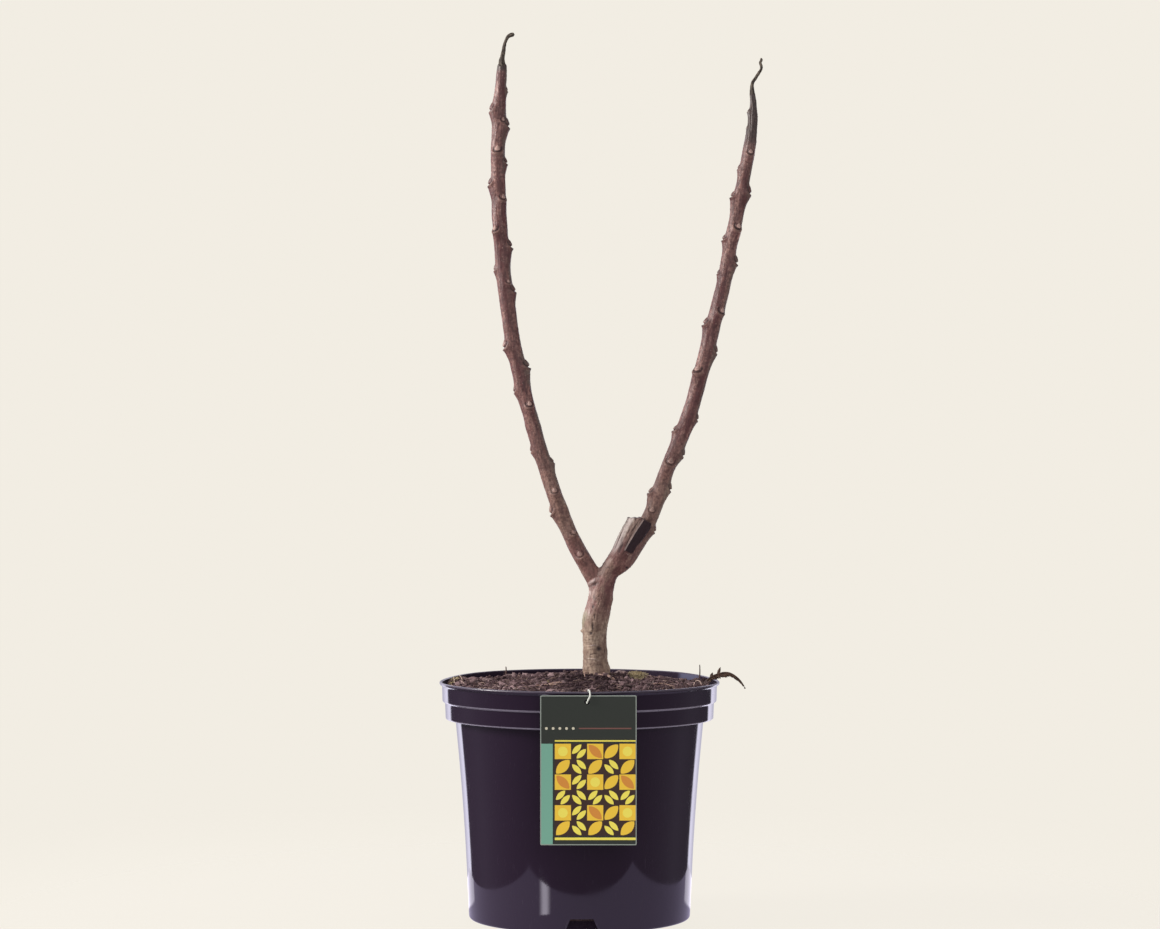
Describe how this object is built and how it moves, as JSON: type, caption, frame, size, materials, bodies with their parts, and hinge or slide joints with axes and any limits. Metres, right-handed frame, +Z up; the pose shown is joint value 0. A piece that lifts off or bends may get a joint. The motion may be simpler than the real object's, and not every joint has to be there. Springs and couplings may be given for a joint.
{
  "type": "potted staghorn sumac",
  "caption": "Young bare sumac in winter: short trunk forking into upright knobbly boughs with withered tips and a sawn stub, in a filled round nursery pot with a hanging label.",
  "frame": {"origin": "on the pot's axis, at the middle of its flat underside", "axes": "+Z up, the pot's axis and the plant's tallest side; +X to the right and +Y away from someone who faces the label"},
  "size_m": [0.3237, 0.2853, 0.884],
  "materials": {
    "pot_plastic": "glossy injection moulded black plastic with a faint violet cast",
    "compost": "moist dark brown compost of bark, fibre and peat",
    "old_bark": "rough tan brown bark, redder towards the fork",
    "young_bark": "reddish brown young bark with lenticels and leaf scars",
    "grey_stub": "weathered grey dead wood with a blackened cut",
    "withered_tip": "shrivelled near black shoot",
    "card_print": "printed and laminated card, satin",
    "hook_plastic": "whitish translucent plastic wire",
    "dry_leaf": "dry brittle brown leaf"
  },
  "bodies": {
    "root": {"pot": "pot_plastic", "compost": "compost", "trunk": "old_bark", "pruned_stub": "grey_stub", "left_bough": "young_bark", "right_bough": "young_bark", "left_withered_tip": "withered_tip", "right_withered_tip": "withered_tip", "label_card": "card_print", "label_hook": "hook_plastic", "fallen_leaflet": "dry_leaf"}
  },
  "joints": []
}
